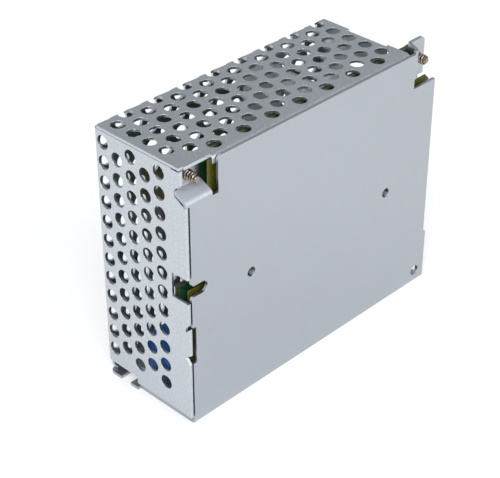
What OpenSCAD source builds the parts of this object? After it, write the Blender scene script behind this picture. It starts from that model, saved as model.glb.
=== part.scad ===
// Enclosed switching power supply in a folded sheet chassis with a perforated cover.
// X runs from the closed end to the terminal end, Y from the base plate inward,
// Z up from the bottom wall that the case stands on.

/* [Case] */
// Length of the base plate along its upper edge
case_l = 99; // [98:0.5:108]
// Depth from the base plate's face to the far wall's face
case_d = 35; // [34:0.5:40]
// Height from the bottom wall to the top of the cover
case_h = 82; // [80:0.5:92]
// Thickness of the chassis sheet
chassis_t = 1.0; // [0.8:0.1:1.2]
// Thickness of the cover sheet
cover_t = 0.8; // [0.6:0.1:1.0]
// Outer radius of the folds
fold_r = 1.4; // [1.3:0.1:2]
// Gap between sheets that meet
seam = 0.15; // [0.1:0.05:0.3]
// Gap between the base plate's left edge and the cover's end wall
end_gap = 0.35; // [0.15:0.05:0.5]

/* [Board tabs] */
// How far the board tabs are set in from the base plate's face
tab_set = 4.7; // [4:0.1:6]
// Slope of the step that leads to a tab, from the base plate
tab_slope = 65; // [50:1:75]
// Width of the notch at the upper left corner of the base plate
left_notch_w = 11.3; // [10.8:0.1:13]
// Height of the notch at the upper left corner of the base plate
left_notch_h = 10.6; // [10:0.1:13]
// Width of the tab in the upper left notch
left_tab_w = 9.2; // [8.6:0.1:9.6]
// Width of the notch at the upper right corner of the base plate
right_notch_w = 9.6; // [9.4:0.1:10.4]
// Height of the notch at the upper right corner of the base plate
right_notch_h = 11; // [10:0.1:13]
// How far the upper right ear stands above the cover
ear_rise = 0.8; // [0.2:0.1:2]
// Radius of the ear's outer corner
ear_r = 1.4; // [0.5:0.1:2.5]
// Height of the relief under the step that leads to the ear
ear_relief = 2.8; // [2.2:0.1:4]
// Width of the two lugs turned up from the bottom wall
lug_w = 8; // [7:0.5:8.5]
// Height of the lugs
lug_h = 9.5; // [9:0.5:11]
// Place of the first lug along the case
lug_x = 39; // [39:0.5:40]
// Distance from the first lug to the second
lug_pitch = 42; // [41.5:0.5:42]

/* [Chassis] */
// Radius of the base plate's corner beside the left notch
plate_r = 1.8; // [0.5:0.1:3]
// How far the lower end of the base plate steps out
edge_step = 1; // [0.4:0.1:2]
// Height of that step
edge_step_h = 17.5; // [14:0.5:22]
// Place of the first threaded mounting hole along the base plate
bolt_x = 23.2; // [20:0.1:26]
// Distance between the threaded mounting holes
bolt_pitch = 56; // [50:0.5:60]
// Height of the threaded mounting holes
bolt_z = 40.6; // [36:0.1:44]
// Diameter of the threaded mounting holes
bolt_d = 3; // [2.5:0.1:4]
// Height of the drawn collar behind each threaded hole
collar_h = 1; // [0.6:0.1:1.4]
// Diameter of the corner mounting hole
corner_d = 3.5; // [3:0.1:4.5]
// Distance of the corner hole from the base plate's right edge
corner_x = 3.2; // [2.8:0.1:5]
// Height of the corner hole
corner_z = 4.7; // [4.4:0.1:7]
// Width of the open slot in the base plate's left edge
edge_slot_w = 3.6; // [3:0.1:4.5]
// Reach of that slot from the closed end
edge_slot_l = 6.8; // [5:0.1:9]
// Height of that slot
edge_slot_z = 44.9; // [44:0.1:46]
// Width of the open slot in the bottom wall
side_slot_w = 4; // [3:0.1:5]
// Reach of the slot in the bottom wall
side_slot_l = 7; // [5:0.5:8.5]
// Distance of the slot in the bottom wall from the base plate's face
side_slot_y = 27.6; // [26.5:0.1:29]
// Length of the latch notch in the base plate's left edge
latch_h = 12; // [8:0.5:14]
// Height of the latch notch's middle
latch_z = 27.3; // [24:0.1:29]
// Depth of the latch notch
latch_depth = 1.15; // [0.5:0.05:1.5]
// Depth of the slits beside the cover's latch tongue
slit_depth = 1.7; // [1.2:0.1:2.2]
// Height of the inner end of those slits
slit_h = 1.2; // [0.6:0.1:1.4]
// How far the slits slope toward the base plate
slit_slope = 1.6; // [0.8:0.1:2]

/* [Cover] */
// Length of the cover's long walls
cover_l = 88.3; // [86:0.1:89]
// Diameter of the ventilation holes
hole_d = 4.2; // [3.5:0.1:4.6]
// Distance between neighbouring ventilation holes
hole_pitch = 6.15; // [5.8:0.05:7]
// Height of the lip that hangs behind the base plate
lip_h = 2.5; // [2:0.1:4]
// Width of the lip's gap over the upper left tab
lip_gap = 10.4; // [10:0.1:11]
// Start of the plain field of the far wall
plain_x = 54.5; // [40:0.5:60]
// Length of the plain field of the far wall
plain_l = 16; // [10:0.5:25]
// Height of the rows of holes above that plain field
plain_drop = 4; // [3:0.5:12]
// Height that the cover's end wall is raised beside the bottom slot
foot_gap = 4.8; // [3:0.1:6]
// Distance from the base plate's face to the raised part of the end wall
foot_y = 22.4; // [20:0.1:24]
// Depth of the window in the end wall beside the base plate's slot
window_d = 6.5; // [5:0.1:7]
// Height of that window
window_h = 7.7; // [6:0.1:9]
// Width of the flange that the cover screws hold
flange_w = 6.5; // [6:0.1:7]
// Depth of the top wall's turned end beside the terminals
turned_h = 7.5; // [5:0.5:9]
// Gap between the far wall's turned end and the terminal block
turned_gap = 1.2; // [0.8:0.1:2]
// Place of the first cover screw along the case
cover_screw_x = 24; // [20:0.5:30]
// Distance between the cover screws
cover_screw_pitch = 46; // [40:0.5:50]

/* [Board] */
// Thickness of the circuit board
board_t = 1.6; // [1.2:0.1:2]
// Gap between the board's edge and the case's walls
board_gap = 1; // [0.7:0.1:1.2]
// Gap between the board's upper edge and the cover
board_top_gap = 0.55; // [0.4:0.05:1]
// Length of the board's notch beside the slot in the base plate
relief_l = 7; // [6:0.5:8]
// Height of that notch
relief_h = 7.5; // [6:0.5:9]
// How far the notch reaches below the middle of the slot
relief_drop = 1.4; // [1:0.1:2]
// Thickness of the insulating film
film_t = 0.25; // [0.15:0.05:0.4]
// How far the film stays below the middle of the slot in the base plate
film_drop = 0.85; // [0.5:0.05:1.5]
// How far the film stands above the notch at the upper right corner
film_rise = 1.35; // [0.5:0.05:1.6]
// Diameter of the component leads
lead_d = 0.8; // [0.6:0.1:1]
// How far the leads stand out under the board
lead_out = 1.6; // [1:0.1:1.8]

/* [Screws] */
// Diameter of the board and cover screws
screw_d = 3; // [2.5:0.1:3]
// Length of the board and cover screws under the head
screw_l = 6; // [5.5:0.1:6.2]
// Diameter of the pan heads
head_d = 5.6; // [5:0.1:6]
// Height of the pan heads
head_h = 2; // [1.6:0.1:2.4]
// Radial clearance of a screw in its hole
screw_fit = 0.05; // [0.03:0.01:0.1]

/* [Terminals] */
// Distance between the terminals
pole_pitch = 9.5; // [9:0.1:9.5]
// Height of the lowest end of the terminal block
block_z = 14; // [13:0.5:14.5]
// Length of the terminal block along the case
block_l = 12; // [11.5:0.1:12.5]
// Height of the terminal block above the board
block_h = 15.5; // [14:0.5:18]
// Height of the terminal block's floor above the board
floor_h = 6; // [5.5:0.1:6.5]
// Thickness of the barriers
barrier_t = 1.6; // [1.2:0.1:1.8]
// Radius of the barriers' outer corners
barrier_r = 3; // [1:0.5:4]
// Diameter of the terminal screws
pole_screw_d = 3.5; // [3:0.1:4]
// Diameter of the terminal screws' heads
pole_head_d = 6.2; // [5.6:0.1:6.4]
// Height of the terminal screws' heads
pole_head_h = 2.2; // [1.8:0.1:2.4]
// Width of the square clamping washers
clamp_w = 6.8; // [6.4:0.1:7]
// Thickness of the washers and of the contact plates
clamp_t = 0.9; // [0.7:0.1:1.1]
// How far a terminal opens
clamp_lift = 2.2; // [1.5:0.1:2.4]
// Gap between a washer and the faces above and below it
clamp_gap = 0.1; // [0.05:0.05:0.15]

/* [Controls] */
// Width of the trimmer's body
trim_w = 6.4; // [6:0.1:6.8]
// Height of the trimmer's body
trim_h = 5; // [4:0.1:6]
// Diameter of the trimmer's rotor
rotor_d = 3.4; // [3:0.1:4]
// Diameter of the indicator lamp
lamp_d = 3; // [2.5:0.1:3.2]

/* [Components] */
// Diameter of the bulk capacitors
bulk_d = 14; // [12:0.5:14.5]
// Height of the bulk capacitors
bulk_h = 16; // [14:0.5:20]
// Diameter of the output capacitors
out_cap_d = 10; // [8:0.5:10]
// Height of the output capacitors
out_cap_h = 18; // [14:0.5:20]
// Width of the transformer's core
core_w = 25; // [22:0.5:26]
// Breadth of the transformer's bobbin
bobbin_w = 20; // [18:0.5:21]
// Height of the transformer's core
core_h = 20; // [17:0.5:22]
// Thickness of the core's limbs
limb_t = 5; // [4:0.1:5.5]
// Thickness of the heatsink plates
sink_t = 1.5; // [1:0.1:2]
// Height of the heatsink plates
sink_h = 22; // [20:0.5:23]
// Length of the heatsinks' turned ends
sink_flange = 6; // [4:0.5:7]
// Length of the transistor's heatsink
transistor_sink_l = 20; // [16:0.5:20]
// Length of the rectifier's heatsink
rectifier_sink_l = 26; // [20:0.5:26]
// Width of the power packages on the heatsinks
package_w = 10; // [9:0.1:10.5]
// Outer diameter of the mains choke's ring
choke_d = 16; // [14:0.5:16.5]
// Width of the interference capacitor
x_cap_w = 15; // [12:0.5:16]
// Thickness of the interference capacitor
x_cap_t = 8; // [6:0.5:8.5]
// Height of the interference capacitor
x_cap_h = 14; // [10:0.5:16]
// Width of the bridge rectifier
bridge_w = 15; // [13:0.5:15.5]
// Height of the bridge rectifier
bridge_h = 11; // [9:0.5:13]
// Diameter of the varistor's disc
varistor_d = 10; // [8:0.5:10]
// Diameter of the output inductor's drum
drum_d = 11; // [9:0.5:12]
// Length of the control chip
chip_l = 9.6; // [8:0.1:10]
// Length of the optocoupler
opto_l = 4.6; // [4:0.1:5]
// Width of the chip's and the optocoupler's bodies
chip_w = 6.4; // [6:0.1:6.8]
// Height of the chip's and the optocoupler's bodies
chip_h = 3.4; // [3:0.1:4]

/* [Hidden] */
$fn = 48;
bend_steps = 6;
eps = 0.01;

// Whole object and its frame
total_l = case_l + edge_step;
cut = 10;

// Chassis sheet
end_x = cover_t + end_gap;
plate_top = case_h - seam;
wall_y = case_d - cover_t + seam;
fold_c = fold_r - chassis_t / 2;
tab_root = 0.4;
tab_bend = chassis_t;
tab_ramp = (tab_set - 2 * tab_bend * (1 - cos(tab_slope))) / sin(tab_slope);
tab_rise = tab_root + 2 * tab_bend * sin(tab_slope) + tab_ramp * cos(tab_slope);
left_tab_z = plate_top - left_notch_h;
right_notch_x = case_l - right_notch_w;
right_notch_z = plate_top - right_notch_h;
shelf_top = case_h - 2 * cover_t;
ear_top = case_h + ear_rise;
lug_root = 0.3;
lug_y = tab_set + chassis_t / 2 - fold_c - lug_root;
lug_slit = 0.5;
mouth_r = 1;
foot_r = 1.5;
bolt_xs = [bolt_x, bolt_x + bolt_pitch];
lug_xs = [lug_x, lug_x + lug_pitch];
collar_t = 0.9;

// Board and film
board_y = tab_set + chassis_t;
board_top = board_y + board_t;
board_x0 = cover_t + board_gap;
board_x1 = case_l - board_gap;
board_z0 = chassis_t + board_gap + seam;
board_z1 = case_h - cover_t - board_top_gap;
film_y = chassis_t + collar_h;
film_x0 = left_tab_w + seam;
film_x1 = case_l - board_gap / 2;
film_cut = 2.4;
lead_gap = 0.15;

// Board screws
left_screw_lift = 2;
left_screw = [left_tab_w / 2 + end_x / 2, left_tab_z + tab_rise + left_screw_lift];
ear_screw_drop = 5;
lug_margin = 0.6;
right_screw = [case_l - head_d / 2, case_h - ear_screw_drop];
lug_screw_z = lug_h - head_d / 2 - lug_margin;
board_screws_at = [left_screw, right_screw, [lug_xs[0], lug_screw_z], [lug_xs[1], lug_screw_z]];
screw_hole_d = screw_d + 2 * screw_fit;

// Cover
hole_step = hole_pitch * sqrt(3) / 2;
edge_x = 4.2;
end_first = 3.6;
end_first_drop = 4.25;
top_first_over = 0.9;
far_x = 3.7;
far_first_over = 0.75;
top_first = case_d + top_first_over;
far_first = case_h + far_first_over;
end_first_z = case_h - end_first_drop;
field_front = 8;
field_low = 8;
far_field_low = 5.5;
plain_top = case_h - plain_drop;
top_front = 4.6;
field_right = 3;
lip_y = chassis_t + seam;
lip_c = fold_r - cover_t / 2;
cover_screw_xs = [cover_screw_x, cover_screw_x + cover_screw_pitch];
far_low = chassis_t + seam;
flange_x0 = 12;
flange_end = 4;
edge_y = 0.3;
window_drop = 1.8;
latch_low = latch_z - latch_h / 2;
latch_high = latch_z + latch_h / 2;

// Terminal block
poles = 5;
block_x1 = board_x1;
block_x0 = block_x1 - block_l;
back_t = 2;
floor_y = board_top + floor_h;
block_w = poles * pole_pitch + barrier_t;
plate_y = floor_y + clamp_t;
clamp_y = plate_y + clamp_gap;
head_y = clamp_y + clamp_t + clamp_gap;
pole_x = block_x0 + back_t + (block_l - back_t) / 2;
pole_tip = 2;
pole_fit = 0.06;
plate_margin = 0.3;
pin_d = 1.2;
pin_back = 1;
pin_x = block_x0 + back_t + pin_back;
pole_room = 0.6;
slot_w = 0.9;

// Turned ends of the cover beside the terminals
turned_x = cover_l - fold_r;
turned_y0 = board_top + head_h + 2 * seam;
turned_y1 = board_top + block_h + turned_gap;
turned_z0 = far_low + fold_r + seam;
turned_z1 = case_h - fold_r - seam;

// Sizes of the board's components
part_gap = 1.5;
edge_gap = 1.4;
body_lift = 0.3;
bulk_feet = 3.75;
bridge_t = 4;
bridge_pitch = 3.8;
fuse_d = 8.5;
fuse_h = 7.5;
fuse_bevel = 1;
disc_t = 4;
disc_lift = 1;
y_cap_d = 8;
drum_h = 14;
drum_flange = 1.5;
drum_groove = 0.8;
x_cap_r = 0.8;
x_cap_foot = 1.2;
x_cap_stand = 0.6;
package_t = 4.5;
package_h = 15;
package_body_h = 9;
package_lift = 5;
package_in = 1.6;
package_bevel = 0.7;
tab_t = 1.3;
tab_hole = 3;
sink_r = sink_t;
sink_pin = 3;
choke_wall = 3;
choke_t = 7;
winding_t = 1.2;
wire_gap = 0.05;
bobbin_foot = 3;
pin_rail = 1;
spool_t = 1.2;
tube_t = 0.8;
coil_r = 2.5;
coil_in = 0.7;
core_t = bobbin_w / 2;
core_split = 0.1;
coil_gap = 0.3;
resistor_l = 6.5;
resistor_d = 2.4;
resistor_waist = 0.25;
resistor_cap = 1.2;
resistor_step = 3.6;
resistor_reach = 1;
lead_half = 2.5;
end_margin = 1.5;
pin_pitch = 2.54;
row_half = 3.8;
chip_bevel = 0.4;
transformer_pitch = 4;
rotor_depth = 1.6;
rotor_fit = 0.08;
trim_half = 2.3;
trim_gap = 0.5;
lamp_rim = 0.8;
lamp_foot = 1;
lamp_half = 0.9;

// Component places on the board, as [X, Z]: a row along its lower edge
bulk_z = board_z0 + edge_gap + bulk_d / 2;
bulk_x = board_x0 + edge_gap + bulk_d / 2;
bulk_xs = [bulk_x, bulk_x + bulk_d + part_gap];
bridge_at = [lug_xs[0] + lug_w / 2 + part_gap + bridge_w / 2, board_z0 + edge_gap + bridge_t];
x_cap_at = [bridge_at[0] + bridge_w / 2 + part_gap + x_cap_w / 2, board_z0 + edge_gap + x_cap_t / 2];

// A row above the bulk capacitors
sink_z = 23;
transistor_x = 24;
chip_right = transistor_x - package_t - sink_flange / 2 - part_gap;
chip_at = [chip_right - row_half - lead_d / 2, sink_z + chip_l / 2];
transformer_at = [transistor_x + sink_t + part_gap + core_w / 2, sink_z + bobbin_w / 2];
choke_at = [transformer_at[0] + core_w / 2 + part_gap + winding_t + choke_t / 2,
            sink_z + winding_t + choke_d / 2];
row_top = sink_z + max(bobbin_w, transistor_sink_l, choke_d + 2 * winding_t);

// A column beside the terminal block
side_x = block_x0 - part_gap - varistor_d / 2;
fuse_at = [side_x, lug_h + part_gap + fuse_d];
varistor_at = [side_x, fuse_at[1] + fuse_d / 2 + part_gap + disc_t / 2];
thermistor_at = [side_x, varistor_at[1] + disc_t + 2 * part_gap];
out_cap_z = thermistor_at[1] + disc_t + part_gap + out_cap_d / 2;
out_cap_at = [[side_x, out_cap_z], [side_x, out_cap_z + part_gap + out_cap_d]];

// The output side at the board's upper edge
rectifier_drop = 5.6;
rectifier_x = side_x - varistor_d / 2 - part_gap - package_t - sink_t;
rectifier_z = board_z1 - rectifier_drop - rectifier_sink_l;
drum_at = [rectifier_x - part_gap - drum_d / 2, row_top + 2 * part_gap + drum_d / 2];

// A row above the transformer
row_z = row_top + 2 * part_gap;
resistor_x = board_x0 + relief_l + part_gap + resistor_d / 2;
resistor_at = [for (i = [0 : 3]) [resistor_x + i * resistor_step, row_z + resistor_l / 2 + resistor_reach]];
opto_at = [resistor_at[3][0] + resistor_d / 2 + part_gap + row_half + lead_d, row_z + opto_l / 2];
y_cap_x = opto_at[0] + row_half + lead_d + part_gap + y_cap_d / 2;
y_cap_at = [for (i = [0, 1]) [y_cap_x, row_z + disc_t / 2 + i * (disc_t + part_gap)]];

// Controls above and below the terminal block
trim_at = [right_screw[0] - head_d / 2 - trim_gap - trim_w / 2,
           block_z + block_w + seam + trim_gap + trim_w / 2];
lamp_at = [block_x0 + block_l / 2, block_z - trim_gap - (lamp_d + lamp_rim) / 2];
turned_low = max(case_h - turned_h, trim_at[1] + trim_w / 2 + trim_gap);

// Lead places of each component, as [X, Z]
function pair(c, dx, dz) = [[c[0] - dx, c[1] - dz], [c[0] + dx, c[1] + dz]];
function row(c, n, dx, dz) =
    [for (i = [0 : n - 1]) let (k = i - (n - 1) / 2) [c[0] + k * dx, c[1] + k * dz]];
function bulk_leads(i) = pair([bulk_xs[i], bulk_z], bulk_feet, 0);
bridge_leads = row(bridge_at, 4, bridge_pitch, 0);
x_cap_leads = pair(x_cap_at, x_cap_w / 2 - end_margin - lead_d / 2, 0);
fuse_leads = pair(fuse_at, lead_half, 0);
varistor_leads = pair(varistor_at, varistor_d / 2 - end_margin, 0);
thermistor_leads = pair(thermistor_at, varistor_d / 2 - end_margin, 0);
drum_leads = pair(drum_at, drum_d / 2 - end_margin, 0);
choke_foot = choke_d / 2 - 2 * lead_d;
choke_leads = concat(pair(choke_at, choke_wall, choke_foot), pair(choke_at, -choke_wall, choke_foot));
rail_z = bobbin_w / 2 - pin_rail;
transformer_leads = concat(row([transformer_at[0], transformer_at[1] - rail_z], 5, transformer_pitch, 0),
                           row([transformer_at[0], transformer_at[1] + rail_z], 5, transformer_pitch, 0));
opto_leads = concat(row([opto_at[0] - row_half, opto_at[1]], 2, 0, pin_pitch),
                    row([opto_at[0] + row_half, opto_at[1]], 2, 0, pin_pitch));
chip_leads = concat(row([chip_at[0] - row_half, chip_at[1]], 4, 0, pin_pitch),
                    row([chip_at[0] + row_half, chip_at[1]], 4, 0, pin_pitch));
transistor_at = [transistor_x - package_in, sink_z + transistor_sink_l / 2];
rectifier_at = [rectifier_x + sink_t + package_in, rectifier_z + rectifier_sink_l / 2];
transistor_leads = row(transistor_at, 3, 0, pin_pitch);
rectifier_leads = row(rectifier_at, 3, 0, pin_pitch);
function resistor_leads(i) = pair(resistor_at[i], 0, resistor_l / 2 + resistor_reach);
y_cap_leads = [for (c = y_cap_at) each pair(c, lead_half, 0)];
out_cap_leads = [for (c = out_cap_at) each pair(c, lead_half, 0)];
trim_leads = row([trim_at[0] - trim_half, trim_at[1]], 3, 0, trim_half);
lamp_leads = pair(lamp_at, lamp_half, 0);
function pole_z(i) = block_z + barrier_t / 2 + (i - 0.5) * pole_pitch;
pole_pins = [for (i = [1 : poles]) [pin_x, pole_z(i)]];
function sink_pins(x, z, l) = [[x + sink_t / 2, z + sink_pin], [x + sink_t / 2, z + l - 2 * sink_pin]];
transistor_pins = sink_pins(transistor_x, sink_z, transistor_sink_l);
rectifier_pins = sink_pins(rectifier_x, rectifier_z, rectifier_sink_l);
thin_leads = concat(bulk_leads(0), bulk_leads(1), bridge_leads, x_cap_leads, fuse_leads, varistor_leads,
                    thermistor_leads, drum_leads, choke_leads, transformer_leads, opto_leads, chip_leads,
                    transistor_leads, rectifier_leads, [for (i = [0 : 3]) each resistor_leads(i)],
                    y_cap_leads, out_cap_leads, trim_leads, lamp_leads);
thick_leads = concat(pole_pins, transistor_pins, rectifier_pins);

// Section of a bent sheet: straight legs joined by bends, from a start point and heading
function ahead(a) = [cos(a), sin(a)];
function left_of(a) = [-sin(a), cos(a)];
function bend(p, a, turn, r) =
    let (s = sign(turn), c = p + s * r * left_of(a))
    [for (i = [1 : bend_steps]) let (b = a + turn * i / bend_steps) [c - s * r * left_of(b), b]];
function middle_line(p, a, legs, turns, r, i = 0) =
    let (q = p + legs[i] * ahead(a))
    i == len(turns) ? [[q, a]] :
    let (arc = bend(q, a, turns[i], r), e = arc[bend_steps - 1])
    concat([[q, a]], arc, middle_line(e[0], e[1], legs, turns, r, i + 1));
function sheet(p, a, legs, turns, r, t) =
    let (line = concat([[p, a]], middle_line(p, a, legs, turns, r)), n = len(line))
    concat([for (s = line) s[0] + t / 2 * left_of(s[1])],
           [for (i = [n - 1 : -1 : 0]) line[i][0] - t / 2 * left_of(line[i][1])]);

// Centres of a staggered hole field, with columns from u0 to u1 and rows from v0 down to v1
function hole_field(u0, u1, v0, v1) = [
    for (i = [0 : floor((u1 - u0) / hole_step)])
        let (v = v0 - (i % 2) * hole_pitch / 2)
        for (j = [0 : floor((v - v1) / hole_pitch)])
            [u0 + i * hole_step, v - j * hole_pitch]];

// Placement helpers
module in_frame() translate([-total_l / 2, -case_d / 2, 0]) children();
module along_x(x, l) translate([x, 0, 0]) rotate([90, 0, 90]) linear_extrude(l) children();
module along_y(y, l) translate([0, y + l, 0]) rotate([90, 0, 0]) linear_extrude(l) children();
module rod(x, y, z, d, l) translate([x, y, z]) rotate([-90, 0, 0]) cylinder(d = d, h = l);
module on_board(at, lift = 0) translate([at[0], board_top + lift, at[1]]) rotate([-90, 0, 0]) children();
module leads(points, d = lead_d, up = 1)
    for (p = points) rod(p[0], board_y - lead_out, p[1], d, lead_out + board_t + up);
module corner(r) difference() {
    square(r + eps);
    translate([r, r]) circle(r);
}
module rounded(w, l, r) difference() {
    square([w, l], center = true);
    for (i = [0, 1], j = [0, 1]) mirror([i, 0]) mirror([0, j]) translate([-w / 2, -l / 2]) corner(r);
}

// Chassis: base plate, bottom wall, board tabs and mounting holes
module folded_sheet() {
    section = sheet([chassis_t / 2, plate_top], -90, [plate_top - fold_r, wall_y - fold_r],
                    [90], fold_c, chassis_t);
    along_x(end_x, total_l - end_x) polygon(section);
    difference() {
        translate([0, foot_y + seam, 0]) cube([end_x, wall_y - foot_y - seam, chassis_t]);
        translate([0, wall_y, -cut / 2]) linear_extrude(cut) mirror([0, 1]) corner(foot_r);
    }
}

module base_cuts() {
    // Upper notches, with a rounded plate corner beside the left one
    along_y(-cut, 2 * cut) {
        translate([-cut, left_tab_z]) square([left_notch_w + cut, case_h]);
        translate([right_notch_x, right_notch_z]) square([case_l, case_h]);
        translate([left_notch_w, plate_top]) mirror([0, 1]) corner(plate_r);
        translate([case_l, edge_step_h])
            polygon([[0, edge_step], [edge_step, 0], [edge_step + eps, 0],
                     [edge_step + eps, case_h], [0, case_h]]);
        translate([end_x - eps, latch_low]) square([latch_depth + eps, latch_h]);
        edge_slot();
    }
    for (x = bolt_xs) rod(x, -cut, bolt_z, bolt_d, 2 * cut);
    rod(case_l - corner_x, -cut, corner_z, corner_d, 2 * cut);
}

module edge_slot() {
    translate([edge_slot_l - edge_slot_w / 2, edge_slot_z]) circle(d = edge_slot_w);
    translate([-cut, edge_slot_z - edge_slot_w / 2])
        square([edge_slot_l - edge_slot_w / 2 + cut, edge_slot_w]);
    for (side = [0, 1])
        translate([end_x - eps, edge_slot_z]) mirror([0, side])
            translate([0, edge_slot_w / 2 - eps]) corner(mouth_r);
}

module bottom_cuts() {
    slot_mid = side_slot_l - side_slot_w / 2;
    translate([0, 0, -cut]) linear_extrude(2 * cut) {
        translate([slot_mid, side_slot_y]) circle(d = side_slot_w);
        translate([-cut, side_slot_y - side_slot_w / 2]) square([slot_mid + cut, side_slot_w]);
        for (x = lug_xs)
            translate([x - lug_w / 2 - lug_slit, lug_y]) square([lug_w + 2 * lug_slit, lug_h + lug_root]);
    }
    for (x = cover_screw_xs) translate([x, case_d - cover_t - flange_w / 2, 0]) sunk_head(screw_fit);
}

// A countersunk head and the start of its shank, grown by a clearance
module sunk_head(grow) {
    translate([0, 0, -eps]) cylinder(d1 = head_d + 2 * grow, d2 = screw_d + 2 * grow, h = chassis_t + eps);
    cylinder(d = screw_d + 2 * grow, h = chassis_t + eps);
}

module left_tab() {
    shelf_l = shelf_top - left_tab_z - tab_rise;
    difference() {
        along_x(0, left_tab_w)
            polygon(sheet([chassis_t / 2, left_tab_z], 90, [tab_root, tab_ramp, shelf_l],
                          [-tab_slope, tab_slope], tab_bend, chassis_t));
        translate([-eps, tab_set - 2 * seam, left_tab_z]) cube([end_x + eps, cut, case_h]);
    }
}

module right_ear() {
    flat_l = case_l - right_notch_x - tab_rise;
    ear_z = right_notch_z + 2 * seam;
    difference() {
        translate([0, 0, ear_z]) linear_extrude(ear_top - ear_z)
            polygon(sheet([right_notch_x, chassis_t / 2], 0, [tab_root, tab_ramp, flat_l],
                          [tab_slope, -tab_slope], tab_bend, chassis_t));
        along_y(-cut, 3 * cut) translate([case_l, ear_top]) rotate(180) corner(ear_r);
        translate([right_notch_x - eps, -cut, ear_z - eps])
            cube([tab_rise + 2 * seam, 2 * cut, ear_relief + eps]);
    }
}

module lug(x)
    along_x(x - lug_w / 2, lug_w)
        polygon(sheet([lug_y, chassis_t / 2], 0, [lug_root, lug_h - fold_r], [90], fold_c, chassis_t));

module chassis() color([0.74, 0.76, 0.80]) difference() {
    union() {
        difference() {
            folded_sheet();
            base_cuts();
            bottom_cuts();
        }
        left_tab();
        right_ear();
        for (x = lug_xs) lug(x);
        for (x = bolt_xs) rod(x, chassis_t - eps, bolt_z, bolt_d + 2 * collar_t, collar_h + eps);
    }
    for (x = bolt_xs) rod(x, -cut, bolt_z, bolt_d, 2 * cut);
    for (p = board_screws_at) rod(p[0], tab_set - eps, p[1], screw_hole_d, chassis_t + 2 * eps);
}

// Cover: end wall, top wall with its lip, and far wall with its flange
module cover_walls() {
    long_walls = sheet([lip_y + cover_t / 2, case_h - lip_h], 90,
                       [lip_h - fold_r, case_d - lip_y - 2 * fold_r,
                        case_h - far_low - 2 * fold_r, flange_w - fold_r],
                       [-90, -90, -90], lip_c, cover_t);
    end_section = sheet([cover_t / 2, edge_y], 90, [case_d - edge_y - fold_r, eps], [-90], lip_c, cover_t);
    difference() {
        along_x(fold_r, cover_l - fold_r) polygon(long_walls);
        translate([turned_x, turned_y0 - seam, case_h - fold_r])
            cube([cut, turned_y1 - turned_y0 + seam, cut]);
        translate([turned_x, case_d - fold_r, turned_z0 - seam])
            cube([cut, cut, turned_z1 - turned_z0 + 2 * seam]);
    }
    turned_ends();
    translate([0, lip_y + fold_r, case_h - cover_t]) cube([fold_r, case_d - lip_y - 2 * fold_r, cover_t]);
    linear_extrude(case_h - cover_t - seam) polygon(end_section);
    translate([0, 0, latch_low + 2 * slit_slope]) cube([cover_t, edge_y + eps, latch_h - 2 * slit_slope]);
}

// The top and far walls turn in at the terminal end, round the terminal block
module turned_ends() {
    along_y(turned_y0, turned_y1 - turned_y0 - seam)
        polygon(sheet([turned_x - eps, case_h - cover_t / 2], 0, [eps, case_h - turned_low - fold_r],
                      [-90], lip_c, cover_t));
    translate([0, 0, turned_z0]) linear_extrude(turned_z1 - turned_z0)
        polygon(sheet([turned_x - eps, case_d - cover_t / 2], 0, [eps, case_d - turned_y1 - fold_r],
                      [-90], lip_c, cover_t));
}

module end_cuts() {
    ramp_end = tab_set - seam;
    // Notch for the step of the upper left tab
    along_x(-cut, 2 * cut)
        polygon([[-cut, left_tab_z - seam], [lip_y, left_tab_z - seam],
                 [ramp_end, left_tab_z + tab_rise / 2], [ramp_end, left_tab_z + tab_rise],
                 [lip_y + edge_y, left_tab_z + tab_rise + ramp_end / 2 + seam],
                 [lip_y + edge_y, case_h - cover_t], [-cut, case_h - cover_t]]);
    // Window beside the slot, and the two slits that free the latch tongue
    along_x(-cut, cut + end_x) {
        translate([-cut, edge_slot_z - edge_slot_w / 2 - window_drop]) square([window_d + cut, window_h]);
        polygon([[-eps, latch_high], [slit_depth, latch_high - slit_slope],
                 [slit_depth, latch_high - slit_slope + slit_h], [edge_y + eps, latch_high + slit_h],
                 [-eps, latch_high + slit_h]]);
        polygon([[-eps, latch_low], [edge_y + eps, latch_low], [slit_depth, latch_low + slit_slope],
                 [slit_depth, latch_low + slit_slope + slit_h / 2], [-eps, latch_low + 2 * slit_slope]]);
    }
    // Raised foot beside the bottom slot
    along_x(-cut, cut + fold_r + eps) translate([foot_y, -cut]) square([case_d, foot_gap + cut]);
    // Relief below the top wall at the front corner
    translate([-cut, lip_y + fold_r, case_h - cover_t - 3 * seam])
        cube([cut + end_x, left_tab_w / 3, 3 * seam]);
}

module lip_cuts() {
    translate([-cut, -cut, case_h - cut]) cube([lip_gap + cut, lip_y + cover_t + seam + cut, 2 * cut]);
    translate([-cut, -cut, 0]) cube([flange_x0 + cut, case_d - cover_t - fold_r + cut, far_low + fold_r]);
    translate([cover_l - flange_end, -cut, 0])
        cube([cut, case_d - cover_t - fold_r + cut, far_low + fold_r]);
    // Room for the ear where the cover reaches it
    translate([right_notch_x - seam, -cut, case_h - lip_h - seam])
        cube([case_l, cut + board_y + seam, lip_h + cut]);
}

module ventilation() {
    for (p = hole_field(end_first, case_d - field_front, end_first_z, field_low))
        translate([-cut, case_d - p[0], p[1]]) rotate([0, 90, 0])
            cylinder(d = hole_d, h = cut + cover_t + eps);
    for (p = hole_field(edge_x, cover_l - field_right, top_first, top_front))
        if (p[0] > field_front || p[1] > field_front)
            translate([p[0], p[1], case_h - cover_t - 3 * seam]) cylinder(d = hole_d, h = cut);
    for (p = hole_field(far_x, cover_l - field_right, far_first, far_field_low))
        if (p[0] < plain_x || p[0] > plain_x + plain_l || p[1] > plain_top)
            rod(p[0], case_d - cover_t - 2 * seam, p[1], hole_d, cut);
}

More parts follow.
